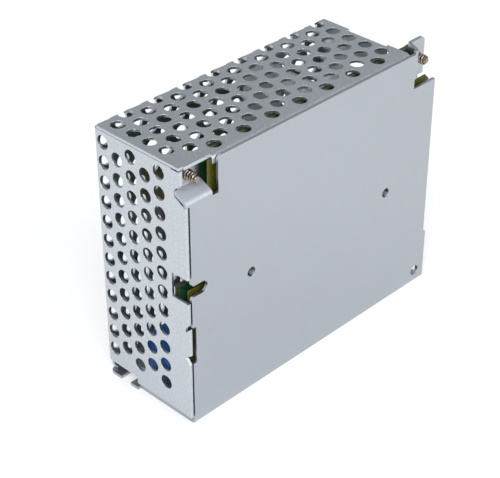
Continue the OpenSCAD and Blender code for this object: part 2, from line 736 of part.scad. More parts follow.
module cover() color([0.80, 0.82, 0.84]) difference() {
    cover_walls();
    end_cuts();
    lip_cuts();
    ventilation();
    for (x = cover_screw_xs)
        translate([x, case_d - cover_t - flange_w / 2, 0]) cylinder(d = screw_hole_d, h = cut);
}

module insulating_film() color([0.62, 0.60, 0.12]) difference() {
    translate([end_x + board_gap / 2, film_y, lug_h + part_gap])
        cube([film_x1 - end_x - board_gap / 2, film_t, board_z1 - lug_h - part_gap]);
    along_y(0, cut) {
        translate([-cut, left_tab_z - seam]) square([film_x0 + cut, case_h]);
        translate([right_notch_x - tab_set, right_notch_z + film_rise]) square([case_l, case_h]);
        translate([film_x1, right_notch_z + film_rise]) rotate(45) square(film_cut, center = true);
        translate([-cut, edge_slot_z - film_drop]) square([edge_slot_l + part_gap + cut, window_h]);
    }
    for (x = bolt_xs) rod(x, 0, bolt_z, bolt_d, cut);
}

module circuit_board() color([0.05, 0.35, 0.16]) difference() {
    translate([board_x0, board_y, board_z0]) cube([board_x1 - board_x0, board_t, board_z1 - board_z0]);
    translate([board_x0 - eps, 0, edge_slot_z - relief_drop]) cube([relief_l + eps, 2 * cut, relief_h]);
    for (p = board_screws_at) rod(p[0], 0, p[1], screw_hole_d, 2 * cut);
    for (p = thin_leads) rod(p[0], 0, p[1], lead_d + 2 * lead_gap, 2 * cut);
    for (p = thick_leads) rod(p[0], 0, p[1], pin_d + 2 * lead_gap, 2 * cut);
}

// Pan head with a cross recess, seated at the origin with its shank along -Y
module pan_screw(l) rotate([-90, 0, 0]) {
    translate([0, 0, -l]) cylinder(d = screw_d, h = l);
    difference() {
        rotate_extrude()
            polygon([[0, 0], [head_d / 2, 0], [head_d / 2, head_h * 0.55],
                     [head_d * 0.36, head_h], [0, head_h]]);
        for (a = [0, 90]) rotate(a)
            translate([-head_d / 3, -slot_w / 2, head_h / 2]) cube([head_d * 2 / 3, slot_w, head_h]);
    }
}

module board_screws() color([0.86, 0.78, 0.52])
    for (p = board_screws_at) translate([p[0], board_top, p[1]]) pan_screw(screw_l);

module cover_screws() color([0.80, 0.80, 0.82])
    for (x = cover_screw_xs) translate([x, case_d - cover_t - flange_w / 2, 0]) difference() {
        union() {
            sunk_head(0);
            cylinder(d = screw_d, h = screw_l);
        }
        translate([-head_d, -head_d, -head_d]) cube([2 * head_d, 2 * head_d, head_d]);
        for (a = [0, 90]) rotate(a)
            translate([-head_d / 4, -slot_w / 2, -eps]) cube([head_d / 2, slot_w, chassis_t]);
    }

// Terminal block with its fixed contacts and its moving clamps and screws
module barrier_section() difference() {
    square([block_l, block_h]);
    translate([block_l, block_h]) rotate(180) corner(barrier_r);
}

module terminal_block() color([0.10, 0.10, 0.11]) difference() {
    translate([block_x0, board_top, block_z]) {
        linear_extrude(block_w)
            polygon([[0, 0], [block_l, 0], [block_l, floor_h], [back_t, floor_h],
                     [back_t, block_h], [0, block_h]]);
        for (i = [0 : poles]) translate([0, 0, i * pole_pitch]) linear_extrude(barrier_t) barrier_section();
    }
    for (i = [1 : poles]) {
        rod(pole_x, board_top + pole_tip - pole_room, pole_z(i), pole_screw_d + 4 * pole_fit, cut);
        rod(pin_x, 0, pole_z(i), pin_d + 2 * lead_gap, board_top + cut);
    }
}

module contact_plates() color([0.82, 0.80, 0.72])
    for (i = [1 : poles]) difference() {
        union() {
            translate([block_x0 + back_t + plate_margin, floor_y, pole_z(i) - clamp_w / 2])
                cube([block_l - back_t - 2 * plate_margin, clamp_t, clamp_w]);
            rod(pin_x, board_y - lead_out, pole_z(i), pin_d, floor_y + clamp_t / 2 - board_y + lead_out);
        }
        rod(pole_x, 0, pole_z(i), pole_screw_d + 4 * pole_fit, 3 * cut);
    }

module terminal_clamp(i) color([0.78, 0.78, 0.76]) translate([pole_x, clamp_y, pole_z(i)]) difference() {
    translate([-clamp_w / 2, 0, -clamp_w / 2]) cube([clamp_w, clamp_t, clamp_w]);
    rod(0, -eps, 0, pole_screw_d + 2 * pole_fit, clamp_t + 2 * eps);
}

module terminal_screw(i) color([0.86, 0.86, 0.84]) translate([pole_x, head_y, pole_z(i)]) {
    tip = head_y - board_top - pole_tip;
    rod(0, -tip, 0, pole_screw_d, tip + eps);
    rotate([-90, 0, 0]) difference() {
        rotate_extrude()
            polygon([[0, 0], [pole_head_d / 2, 0], [pole_head_d / 2, pole_head_h * 0.6],
                     [pole_head_d * 0.4, pole_head_h], [0, pole_head_h]]);
        for (a = [0, 90]) rotate(a) translate([-pole_head_d * 0.35, -slot_w / 2, pole_head_h / 2])
            cube([pole_head_d * 0.7, slot_w, pole_head_h]);
    }
}

// Trimmer and lamp beside the terminals
module trimmer_body() color([0.15, 0.32, 0.62]) {
    difference() {
        on_board(trim_at) translate([-trim_w / 2, -trim_w / 2, 0]) cube([trim_w, trim_w, trim_h]);
        on_board(trim_at, trim_h - rotor_depth) cylinder(d = rotor_d + 2 * rotor_fit, h = cut);
    }
    leads(trim_leads);
}

module trimmer_rotor() color([0.92, 0.90, 0.84])
    on_board(trim_at, trim_h - rotor_depth + rotor_fit) difference() {
        cylinder(d = rotor_d, h = rotor_depth);
        translate([-rotor_d, -slot_w / 2, rotor_depth - slot_w]) cube([2 * rotor_d, slot_w, cut]);
    }

module indicator_lamp() color([0.25, 0.75, 0.30]) {
    on_board(lamp_at) {
        cylinder(d = lamp_d + lamp_rim, h = lamp_foot);
        cylinder(d = lamp_d, h = lamp_d + lamp_foot);
        translate([0, 0, lamp_d + lamp_foot]) sphere(d = lamp_d);
    }
    leads(lamp_leads);
}

// Sleeved capacitor can with a rolled groove above its foot and a scored top
module can(at, d, h) {
    groove = 0.5;
    on_board(at) difference() {
        rotate_extrude()
            polygon([[0, 0], [d / 2 - groove, 0], [d / 2, groove], [d / 2, 3 * groove],
                     [d / 2 - groove, 4 * groove], [d / 2 - groove, 5 * groove], [d / 2, 6 * groove],
                     [d / 2, h - groove], [d / 2 - groove, h], [0, h]]);
        for (a = [0, 90]) rotate(a) translate([-d / 4, -groove / 2, h - groove]) cube([d / 2, groove, h]);
    }
}

module bulk_capacitor(i) color([0.04, 0.25, 0.60]) {
    can([bulk_xs[i], bulk_z], bulk_d, bulk_h);
    leads(bulk_leads(i));
}

module output_capacitors() color([0.10, 0.10, 0.12]) {
    for (c = out_cap_at) can(c, out_cap_d, out_cap_h);
    leads(out_cap_leads);
}

module bridge_rectifier() color([0.08, 0.08, 0.08]) {
    bevel = bridge_w / 6;
    translate([bridge_at[0] - bridge_w / 2, board_top + body_lift, bridge_at[1] - bridge_t / 2])
        linear_extrude(bridge_t)
            polygon([[0, 0], [bridge_w, 0], [bridge_w, bridge_h], [bevel, bridge_h], [0, bridge_h - bevel]]);
    leads(bridge_leads, up = body_lift + 1);
}

// Moulded box with softened edges that stands on two feet
module interference_capacitor() color([0.85, 0.70, 0.15]) {
    on_board(x_cap_at) difference() {
        linear_extrude(x_cap_h) rounded(x_cap_w, x_cap_t, x_cap_r);
        translate([x_cap_foot - x_cap_w / 2, -x_cap_t, -eps])
            cube([x_cap_w - 2 * x_cap_foot, 2 * x_cap_t, x_cap_stand + eps]);
    }
    leads(x_cap_leads, up = 2 * x_cap_stand);
}

module mains_fuse() color([0.45, 0.22, 0.12]) {
    on_board(fuse_at) rotate_extrude()
        polygon([[0, 0], [fuse_d / 2, 0], [fuse_d / 2, fuse_h - fuse_bevel],
                 [fuse_d / 2 - fuse_bevel, fuse_h], [0, fuse_h]]);
    leads(fuse_leads);
}

// Dipped disc with a softened rim, standing on its two leads
module disc(at, d, points) {
    rim = disc_t / 4;
    translate([at[0], board_top + d / 2 + disc_lift, at[1]]) rotate_extrude()
        polygon([[0, -disc_t / 2], [d / 2 - rim, -disc_t / 2], [d / 2, -rim], [d / 2, rim],
                 [d / 2 - rim, disc_t / 2], [0, disc_t / 2]]);
    leads(points, up = d / 2);
}

module varistor() color([0.10, 0.30, 0.65]) disc(varistor_at, varistor_d, varistor_leads);
module inrush_thermistor() color([0.12, 0.14, 0.12]) disc(thermistor_at, varistor_d, thermistor_leads);
module safety_capacitors() color([0.15, 0.40, 0.75])
    for (c = y_cap_at) disc(c, y_cap_d, pair(c, lead_half, 0));

// Mains choke: a standing ring with two wound halves
choke_y = board_top + choke_d / 2 + winding_t + body_lift;

module ring(grow)
    translate([choke_at[0] - choke_t / 2 - grow, choke_y, choke_at[1]]) rotate([0, 90, 0]) difference() {
        cylinder(d = choke_d + 2 * grow, h = choke_t + 2 * grow);
        translate([0, 0, -eps])
            cylinder(d = choke_d - 2 * choke_wall - 2 * grow, h = choke_t + 2 * grow + 2 * eps);
    }

module choke_ring() color([0.18, 0.30, 0.22]) ring(0);

module choke_windings() color([0.72, 0.38, 0.16]) {
    difference() {
        ring(winding_t);
        ring(wire_gap);
        translate([0, 0, choke_at[1] - choke_wall / 2]) cube([case_l, case_d, choke_wall]);
    }
    reach = sqrt(pow((choke_d + winding_t) / 2, 2) - pow(choke_foot, 2));
    leads(choke_leads, up = choke_y - board_top - reach);
}

// Transformer: bobbin with its pins, wound coil and pair of E cores
core_y = board_top + bobbin_foot + coil_gap;
spool_y = core_y + limb_t / 2 + wire_gap;
spool_h = core_h - limb_t - 2 * wire_gap;
spool_w = core_w - limb_t - 2 * coil_gap;
limb_room = 2 * coil_gap;
tube_room = limb_room + 2 * tube_t;

module on_core(y) translate([transformer_at[0], y, transformer_at[1]]) rotate([-90, 0, 0]) children();

module transformer_core() color([0.20, 0.20, 0.22]) difference() {
    on_core(core_y) translate([0, 0, core_h / 2]) cube([core_w, core_t, core_h], center = true);
    for (s = [-1, 1]) on_core(core_y + core_h / 2) translate([s * core_w / 4, 0, 0])
        cube([core_w / 2 - limb_t, 2 * core_t, core_h - limb_t], center = true);
    on_core(core_y + core_h / 2) cube([2 * core_w, 2 * core_t, core_split], center = true);
}

module transformer_winding() color([0.90, 0.78, 0.25])
    on_core(spool_y + spool_t + wire_gap) linear_extrude(spool_h - 2 * spool_t - 2 * wire_gap) difference() {
        rounded(spool_w - 2 * coil_in, bobbin_w - 2 * coil_in, coil_r);
        square([limb_t + tube_room + 2 * wire_gap, core_t + tube_room + 2 * wire_gap], center = true);
    }

module transformer_bobbin() color([0.13, 0.13, 0.13]) {
    difference() {
        union() {
            for (y = [spool_y, spool_y + spool_h - spool_t])
                on_core(y) linear_extrude(spool_t) rounded(spool_w, bobbin_w, coil_in);
            on_core(spool_y) linear_extrude(spool_h)
                square([limb_t + tube_room, core_t + tube_room], center = true);
        }
        on_core(spool_y - eps) linear_extrude(spool_h + 2 * eps)
            square([limb_t + limb_room, core_t + limb_room], center = true);
    }
    difference() {
        on_core(board_top) linear_extrude(spool_y - board_top + eps) rounded(spool_w, bobbin_w, coil_in);
        on_core(board_top + bobbin_foot) linear_extrude(core_h)
            square([2 * core_w, core_t + limb_room], center = true);
    }
    leads(transformer_leads);
}

// Heatsink: a plate with a turned end and two solder pins, carrying a power package on its face
module heatsink(x, z, l, points) {
    difference() {
        along_y(board_top, sink_h)
            polygon(sheet([x + sink_t / 2, z], 90, [l - sink_r - sink_t / 2, sink_flange - sink_r],
                          [90], sink_r, sink_t));
        translate([x - eps, board_top + package_lift + package_h - tab_hole, z + l / 2]) rotate([0, 90, 0])
            cylinder(d = screw_hole_d, h = sink_t + 2 * eps);
    }
    leads(points, pin_d);
}

module transistor_heatsink() color([0.72, 0.74, 0.76])
    heatsink(transistor_x, sink_z, transistor_sink_l, transistor_pins);
module rectifier_heatsink() color([0.72, 0.74, 0.76])
    heatsink(rectifier_x, rectifier_z, rectifier_sink_l, rectifier_pins);

// Power package: a moulded body on a metal tab, with three leads
module package(x, side, z, points) {
    translate([x, board_top + package_lift, z]) mirror([side, 0, 0]) difference() {
        translate([0, 0, -package_w / 2]) linear_extrude(package_w)
            polygon([[0, 0], [package_t - package_bevel, 0], [package_t, package_bevel],
                     [package_t, package_body_h - package_bevel],
                     [package_t - package_bevel, package_body_h],
                     [tab_t, package_body_h], [tab_t, package_h], [0, package_h]]);
        translate([-eps, package_h - tab_hole, 0]) rotate([0, 90, 0])
            cylinder(d = screw_hole_d, h = package_t);
    }
    leads(points, up = package_lift + 1);
}

module switching_transistor() color([0.12, 0.12, 0.13])
    package(transistor_x, 1, sink_z + transistor_sink_l / 2, transistor_leads);
module output_rectifier() color([0.12, 0.12, 0.13])
    package(rectifier_x + sink_t, 0, rectifier_z + rectifier_sink_l / 2, rectifier_leads);

// Screw that clamps a package to its heatsink, with its head on the package
module package_screw(x, side, z)
    translate([x, board_top + package_lift + package_h - tab_hole, z])
        rotate([0, 0, side == 1 ? 90 : -90]) pan_screw(tab_t + 2 * sink_t);

module transistor_screw() color([0.80, 0.80, 0.82])
    package_screw(transistor_x - tab_t, 1, sink_z + transistor_sink_l / 2);
module rectifier_screw() color([0.80, 0.80, 0.82])
    package_screw(rectifier_x + sink_t + tab_t, 0, rectifier_z + rectifier_sink_l / 2);

// Output inductor: a drum core with its winding
module output_inductor() color([0.22, 0.22, 0.24]) {
    waist = drum_d / 2 - drum_groove;
    on_board(drum_at) rotate_extrude()
        polygon([[0, 0], [drum_d / 2, 0], [drum_d / 2, drum_flange], [waist, drum_flange],
                 [waist, drum_h - drum_flange], [drum_d / 2, drum_h - drum_flange], [drum_d / 2, drum_h],
                 [0, drum_h]]);
    leads(drum_leads);
}

// Small package lying on the board, with drafted sides and its legs bent down at both of them
module flat_chip(at, l, points) {
    side = chip_w / 2;
    translate([at[0], board_top + body_lift, at[1] - l / 2]) linear_extrude(l)
        polygon([[chip_bevel - side, 0], [side - chip_bevel, 0], [side, chip_h / 2],
                 [side - chip_bevel, chip_h], [chip_bevel - side, chip_h], [-side, chip_h / 2]]);
    leads(points, up = body_lift + chip_h / 2);
    for (p = points)
        translate([min(p[0], at[0]), board_top + body_lift + chip_h / 2 - lead_d / 2, p[1] - lead_d / 2])
            cube([abs(p[0] - at[0]), lead_d / 2, lead_d]);
}

module optocoupler() color([0.90, 0.90, 0.88]) flat_chip(opto_at, opto_l, opto_leads);
module control_chip() color([0.10, 0.10, 0.10]) flat_chip(chip_at, chip_l, chip_leads);

// Lacquered resistor with swollen end caps, on leads bent down at both ends
module resistor(i) {
    r = resistor_d / 2;
    half = resistor_l / 2;
    translate([resistor_at[i][0], board_top + body_lift + r, resistor_at[i][1]]) {
        rotate_extrude()
            polygon([[0, -half], [r - resistor_waist, -half], [r, resistor_cap / 2 - half],
                     [r, resistor_cap - half], [r - resistor_waist, 1.5 * resistor_cap - half],
                     [r - resistor_waist, half - 1.5 * resistor_cap], [r, half - resistor_cap],
                     [r, half - resistor_cap / 2], [r - resistor_waist, half], [0, half]]);
        cylinder(d = lead_d, h = resistor_l + 2 * resistor_reach, center = true);
    }
    leads(resistor_leads(i), up = body_lift + r);
}

module resistors() color([0.55, 0.70, 0.80]) for (i = [0 : 3]) resistor(i);

in_frame() chassis();
in_frame() cover();
in_frame() insulating_film();
in_frame() circuit_board();
in_frame() board_screws();
in_frame() cover_screws();
in_frame() terminal_block();
in_frame() contact_plates();
in_frame() terminal_clamp(1);  // terminal_clamp_1
in_frame() terminal_clamp(2);  // terminal_clamp_2
in_frame() terminal_clamp(3);  // terminal_clamp_3
in_frame() terminal_clamp(4);  // terminal_clamp_4
in_frame() terminal_clamp(5);  // terminal_clamp_5
in_frame() terminal_screw(1);  // terminal_screw_1
in_frame() terminal_screw(2);  // terminal_screw_2
in_frame() terminal_screw(3);  // terminal_screw_3
in_frame() terminal_screw(4);  // terminal_screw_4
in_frame() terminal_screw(5);  // terminal_screw_5
in_frame() trimmer_body();
in_frame() trimmer_rotor();
in_frame() indicator_lamp();
in_frame() bulk_capacitor(0);  // bulk_capacitor_1
in_frame() bulk_capacitor(1);  // bulk_capacitor_2
in_frame() bridge_rectifier();
in_frame() interference_capacitor();
in_frame() mains_fuse();
in_frame() varistor();
in_frame() inrush_thermistor();
in_frame() choke_ring();
in_frame() choke_windings();
in_frame() transformer_core();
in_frame() transformer_bobbin();
in_frame() transformer_winding();
in_frame() transistor_heatsink();
in_frame() switching_transistor();
in_frame() transistor_screw();
in_frame() rectifier_heatsink();
in_frame() output_rectifier();
in_frame() rectifier_screw();
in_frame() output_capacitors();
in_frame() output_inductor();
in_frame() safety_capacitors();
in_frame() optocoupler();
in_frame() control_chip();
in_frame() resistors();
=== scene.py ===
"""Looks of the enclosed power supply: materials, fine detail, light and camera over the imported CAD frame."""
import math

import bmesh
import bpy
from mathutils import Matrix, Vector


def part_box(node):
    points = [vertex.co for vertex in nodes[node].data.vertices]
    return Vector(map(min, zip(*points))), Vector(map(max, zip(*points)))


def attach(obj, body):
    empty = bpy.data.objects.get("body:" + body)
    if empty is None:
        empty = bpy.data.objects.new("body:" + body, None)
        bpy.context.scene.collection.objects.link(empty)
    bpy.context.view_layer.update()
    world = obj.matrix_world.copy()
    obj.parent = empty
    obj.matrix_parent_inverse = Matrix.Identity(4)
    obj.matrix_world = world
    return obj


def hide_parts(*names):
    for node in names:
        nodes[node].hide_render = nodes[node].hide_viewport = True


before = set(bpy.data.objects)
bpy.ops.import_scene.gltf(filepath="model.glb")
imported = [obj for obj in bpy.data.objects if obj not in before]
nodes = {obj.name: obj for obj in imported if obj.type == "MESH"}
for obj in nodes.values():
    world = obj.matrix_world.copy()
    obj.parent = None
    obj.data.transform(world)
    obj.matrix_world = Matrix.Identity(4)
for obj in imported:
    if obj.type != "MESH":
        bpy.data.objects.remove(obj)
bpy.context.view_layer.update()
MM = 0.001
MICRON = 1e-6
QUARTER_TURN = math.pi / 2

# Most values of a noise lie between these two
NOISE_LOW, NOISE_HIGH = 0.3, 0.7
# Narrower ranges of a noise, for spots, for layers or threads, and for thin scratches
SPOTS, STRIPES, HAIRS = (0.35, 0.68), (0.35, 0.65), (0.72, 0.78)
# Sockets of a Mix node that mixes colours
MIX_SHARE, MIX_A, MIX_B, MIX_RESULT = 0, 6, 7, 2
# Colour of bright zinc plating
ZINC = (0.74, 0.74, 0.75)
# Sleeve and stripe of the bulk capacitors
BLUE_SLEEVE, BLUE_STRIPE = (0.006, 0.120, 0.50), (0.30, 0.42, 0.62)
# Edges that turn by more than this stay sharp
SHARP_ANGLE = math.radians(38)

# Screws: shank radius, thread pitch, and radius and height of the head
SHANK_R, POLE_SHANK_R = 1.5 * MM, 1.75 * MM
BOARD_PITCH, SHEET_PITCH, POLE_PITCH = 0.9 * MM, 0.5 * MM, 0.6 * MM
HEAD_R, HEAD_H = 2.8 * MM, 2.0 * MM
POLE_HEAD_R, POLE_HEAD_H = 3.1 * MM, 2.2 * MM
# Sunk head of the cover screws: its height, and (radius, height) from the shank to the rim of the flat
SUNK_H = 1.0 * MM
SUNK_HEAD = [(SHANK_R, -SUNK_H), (2.66 * MM, -0.14 * MM), (2.74 * MM, -0.03 * MM), (2.60 * MM, 0.0)]
# Cross recesses: half the width of the slots, half their length, and the depth
CROSS = (0.45 * MM, 1.75 * MM, 1.1 * MM)
SUNK_CROSS = (0.45 * MM, 1.5 * MM, 0.9 * MM)
POLE_CROSS = (0.5 * MM, 1.95 * MM, 1.2 * MM)
# Angles at which the crosses stop: the first screw's, and the step to the next
BOARD_STOP, COVER_STOP, SINK_STOP, POLE_STOP = (0.4, 1.1), (0.7, 0.9), (0.3, 0.0), (0.5, 0.8)
POLES = 5

# Thickness of the cover's sheet
COVER_T = 0.8 * MM
# Nodes with an outline printed round them on the board
PRINTED = ("terminal_block", "trimmer_body", "indicator_lamp", "interference_capacitor", "mains_fuse",
           "transformer_bobbin", "output_inductor", "optocoupler", "control_chip", "bridge_rectifier")

# Camera of the photograph, fitted to points of the case
CAMERA_PLACE, CAMERA_LOOK = (-0.2609, -0.2464, 0.2714), (0.5926, 0.5809, -0.5580)
LENS_MM, SENSOR_MM, CLIP_START = 106.77, 36.0, 0.01
# Lights: place, diameter in metres and power in watts
LIGHTS = {"key": ((-0.62, -0.55, 0.80), 0.7, 5.8), "fill": ((0.35, -0.95, 0.45), 0.8, 2.8)}
LIGHT_AIM = (0, 0, 0.04)
# Sky: colour, its dimmer side, and how its strength falls towards that side
SKY, SKY_DIM_SIDE = (0.93, 0.96, 1.0), (0.60, 0.55, 0.58)
SKY_FALL = {"From Min": 0.1, "From Max": 1.0, "To Min": 0.55, "To Max": 0.47}
# Floor: half its width, and its glow as the camera sees it and as metal mirrors it. A glow is two distances
# from the middle and the strengths at them. The mirrored glow is dimmer near the middle: a painted shade
# round the object's foot, as metal mirrors the floor.
FLOOR_HALF = 4.0
FLOOR_SEEN, FLOOR_MIRRORED_PAINTED_SHADE = (0.35, 1.5, 0.42, 0.62), (0.03, 0.10, 0.22, 0.34)


class Shade:
    """A procedural material under construction, with short calls for the nodes it uses."""

    def __init__(self, name, metal=0.0):
        self.material = bpy.data.materials.new(name)
        self.material.use_nodes = True
        self.tree = self.material.node_tree
        self.bsdf = self.tree.nodes["Principled BSDF"]
        self.set(Metallic=metal)
        self.place = self.add("ShaderNodeTexCoord").outputs["Object"]

    def add(self, kind, **inputs):
        """A new node with its inputs set to values or linked to sockets."""
        node = self.tree.nodes.new(kind)
        for name, value in inputs.items():
            self.put(node.inputs[name.replace("_", " ")], value)
        return node

    def put(self, socket, value):
        """Links a socket to another, or sets it to a value."""
        if isinstance(value, bpy.types.NodeSocket):
            self.tree.links.new(value, socket)
        else:
            socket.default_value = value

    def set(self, **values):
        """Sets plain values on the shader."""
        for name, value in values.items():
            self.bsdf.inputs[name.replace("_", " ")].default_value = value
        return self

    def moved(self, stretch=(1, 1, 1), turn=(0, 0, 0)):
        """The object's coordinates, stretched and turned."""
        node = self.add("ShaderNodeMapping", Vector=self.place, Rotation=turn, Scale=stretch)
        return node.outputs["Vector"]

    def noise(self, scale, detail=3.0, rough=0.5, stretch=(1, 1, 1), turn=(0, 0, 0)):
        """Noise over the object, at a scale given per metre."""
        return self.add("ShaderNodeTexNoise", Vector=self.moved(stretch, turn), Scale=scale, Detail=detail,
                        Roughness=rough).outputs["Fac"]

    def span(self, value, low, high, to_low=0.0, to_high=1.0):
        """A value's range carried to another range, with its ends held."""
        node = self.tree.nodes.new("ShaderNodeMapRange")
        for socket, v in zip(node.inputs, (value, low, high, to_low, to_high)):
            self.put(socket, v)
        return node.outputs[0]

    def spread(self, noise, to_low, to_high):
        """A noise's usual values carried to another range."""
        return self.span(noise, NOISE_LOW, NOISE_HIGH, to_low, to_high)

    def mix(self, share, a, b):
        """A colour between two others."""
        node = self.tree.nodes.new("ShaderNodeMix")
        node.data_type = "RGBA"
        for index, v in ((MIX_SHARE, share), (MIX_A, a), (MIX_B, b)):
            self.put(node.inputs[index], (*v, 1.0) if isinstance(v, tuple) else v)
        return node.outputs[MIX_RESULT]

    def tones(self, noise, a, b):
        """A colour that goes from one to another with a noise's usual values."""
        return self.mix(self.spread(noise, 0.0, 1.0), a, b)

    def calc(self, kind, a, b=0.0):
        """A sum or another operation on one or two numbers."""
        node = self.tree.nodes.new("ShaderNodeMath")
        node.operation = kind
        self.put(node.inputs[0], a)
        self.put(node.inputs[1], b)
        return node.outputs[0]

    def measure(self, kind, *vectors):
        """A number from an operation on one or two vectors."""
        node = self.tree.nodes.new("ShaderNodeVectorMath")
        node.operation = kind
        for socket, v in zip(node.inputs, vectors):
            self.put(socket, v)
        return node.outputs["Value"]

    def geometry(self, output):
        """One of the outputs of the Geometry node."""
        return self.add("ShaderNodeNewGeometry").outputs[output]

    def axis(self, name):
        """One of the object's coordinates, in metres."""
        return self.add("ShaderNodeSeparateXYZ", Vector=self.place).outputs[name]

    def facing(self, name):
        """How much the surface faces along an axis, either way."""
        parts = self.add("ShaderNodeSeparateXYZ", Vector=self.geometry("Normal"))
        return self.calc("ABSOLUTE", parts.outputs[name])

    def color(self, value):
        """Links the base colour."""
        self.put(self.bsdf.inputs["Base Color"], value)

    def rough(self, value):
        """Links the roughness."""
        self.put(self.bsdf.inputs["Roughness"], value)

    def edges(self, radius):
        """Rounds the shading of cut edges, and gives 1 on them and 0 on the flats."""
        bent, flat = 0.78, 0.985
        bevel = self.add("ShaderNodeBevel", Radius=radius)
        bevel.samples = 6
        rounded = bevel.outputs["Normal"]
        self.put(self.bsdf.inputs["Normal"], rounded)
        return self.span(self.measure("DOT_PRODUCT", rounded, self.geometry("Normal")), bent, flat, 1.0, 0.0)

    def bump(self, height, depth):
        """A relief of the given depth in metres, over the one that is there."""
        node = self.add("ShaderNodeBump", Strength=1.0, Distance=depth, Height=height)
        normal = self.bsdf.inputs["Normal"]
        if normal.links:
            self.put(node.inputs["Normal"], normal.links[0].from_socket)
        self.put(normal, node.outputs["Normal"])


def scaled(rgb, k):
    """A colour made lighter or darker."""
    return tuple(min(1.0, c * k) for c in rgb)


def sheet_metal(name, rgb, speck, slopes_matte_and_painted_light=False):
    """Zinc-plated sheet: cloudy plating, fine spangle, hairline scratches and a painted highlight (a lighter
    colour) on the cut edges.

    Where asked, slopes that face up or down, such as the step of a tab, are more matte and get a painted
    highlight: a lighter colour.
    """
    dull, bright, pit, scratch = (scaled(rgb, k) for k in (0.96, 1.04, 1 - speck, 1.15))
    painted_edge_highlight, painted_highlight_on_slopes = scaled(rgb, 1.4), scaled(rgb, 1.55)
    edge_highlight_amount, scratch_share, slope_highlight_amount = 0.7, 0.25, 0.8
    edge_r, rough, slope_rough = 0.22 * MM, 0.36, 0.30
    upright, sloping, shallow, level = 0.2, 0.4, 0.94, 0.985
    s = Shade(name, metal=1.0)
    edge = s.edges(edge_r)
    cloud = s.spread(s.noise(60, detail=5, rough=0.6), 0.0, 1.0)
    fine = s.noise(1500, detail=4, rough=0.65)
    base = s.mix(s.span(fine, *SPOTS), pit, s.mix(cloud, dull, bright))
    lines = s.noise(2400, detail=1, stretch=(0.03, 1, 1), turn=(0.3, 0.5, 0.7))
    base = s.mix(s.span(lines, *HAIRS, 0.0, scratch_share), base, scratch)
    uneven = s.span(cloud, 0, 1, rough - 0.05, rough + 0.06)
    if slopes_matte_and_painted_light:
        up = s.facing("Z")
        slope = s.calc("MULTIPLY", s.span(up, upright, sloping), s.span(up, shallow, level, 1.0, 0.0))
        # Painted highlight: slopes that face up or down get a lighter colour
        base = s.mix(s.calc("MULTIPLY", slope, slope_highlight_amount), base, painted_highlight_on_slopes)
        uneven = s.calc("ADD", uneven, s.calc("MULTIPLY", slope, slope_rough))
    # Painted highlight: the cut edges get a lighter colour
    s.color(s.mix(s.calc("MULTIPLY", edge, edge_highlight_amount), base, painted_edge_highlight))
    s.rough(s.calc("ADD", uneven, s.spread(fine, -0.07, 0.09)))
    s.bump(fine, depth=0.006 * MM)
    s.bump(s.noise(35, detail=2), depth=0.10 * MM)
    return s.material


def moulded(name, rgb, rough=0.48):
    """Moulded plastic with a fine eroded grain and slight flow marks."""
    s = Shade(name)
    flow = s.noise(160, rough=0.6, stretch=(1, 0.35, 1))
    grain = s.noise(5200, detail=2)
    s.color(s.tones(flow, scaled(rgb, 0.88), scaled(rgb, 1.14)))
    s.rough(s.calc("ADD", s.spread(flow, rough - 0.05, rough + 0.05), s.spread(grain, -0.05, 0.05)))
    s.bump(grain, depth=0.012 * MM)
    return s.material


def plated(name, rgb, warm=None, rough=0.28, painted_groove_shade=None):
    """Bright plated hardware, with a passivated tint, and painted shade: a dark colour in the hollows of a
    thread, where one is given.
    """
    hollow, crest = 0.49, 0.58
    s = Shade(name, metal=1.0)
    cloud = s.noise(520, detail=4, rough=0.6)
    base = s.mix(s.span(cloud, *SPOTS), rgb, warm or scaled(rgb, 0.86))
    if painted_groove_shade:
        # Painted shade: the hollows of the thread, found by pointiness, are darkened
        base = s.mix(s.span(s.geometry("Pointiness"), hollow, crest), painted_groove_shade, base)
    s.color(base)
    wear = s.noise(2600, rough=0.6)
    s.rough(s.calc("ADD", s.spread(wear, -0.06, 0.10), rough))
    s.bump(wear, depth=0.006 * MM)
    return s.material


def film_material():
    """Insulating film: glossy, slightly cloudy olive-yellow sheet, with a painted highlight (a lighter colour)
    on its edges.
    """
    s = Shade("film")
    body = s.tones(s.noise(110), (0.070, 0.070, 0.005), (0.105, 0.100, 0.008))
    # Painted highlight: the edges, which do not face along Y, get a lighter colour
    s.color(s.mix(s.span(s.facing("Y"), 0.3, 0.7), (0.16, 0.155, 0.03), body))
    s.rough(s.spread(s.noise(800, detail=2), 0.18, 0.32))
    s.bump(s.noise(60, detail=2), depth=0.15 * MM)
    return s.set(Subsurface_Weight=0.15, Subsurface_Radius=(0.001, 0.001, 0.0002)).material


def board_material():
    """Glass-fibre board: green mask over copper areas with narrow gaps, and a woven bare edge."""
    gap_end, copper_start, gap_share = 0.05, 0.09, 0.8
    s = Shade("board")
    flat = s.moved(stretch=(1, 0, 1))
    reach = []
    for feature in ("F1", "F2"):
        cells = s.add("ShaderNodeTexVoronoi", Vector=flat, Scale=125.0)
        cells.feature = feature
        cells.distance = "CHEBYCHEV"
        reach.append(cells.outputs["Distance"])
    gap = s.span(s.calc("SUBTRACT", reach[1], reach[0]), gap_end, copper_start, 1.0, 0.0)
    cloud = s.noise(140)
    mask = s.tones(cloud, (0.012, 0.105, 0.040), (0.020, 0.150, 0.060))
    mask = s.mix(s.calc("MULTIPLY", gap, gap_share), mask, (0.022, 0.060, 0.026))
    weave = s.span(s.noise(2600, detail=2, stretch=(0.15, 1, 0.15)), *STRIPES)
    edge = s.mix(weave, (0.030, 0.036, 0.016), (0.075, 0.080, 0.036))
    s.color(s.mix(s.span(s.facing("Y"), 0.5, 0.8), edge, mask))
    s.rough(s.spread(cloud, 0.24, 0.36))
    s.bump(s.calc("SUBTRACT", 1.0, gap), depth=0.035 * MM)
    s.bump(s.noise(3000, detail=2), depth=0.006 * MM)
    return s.material


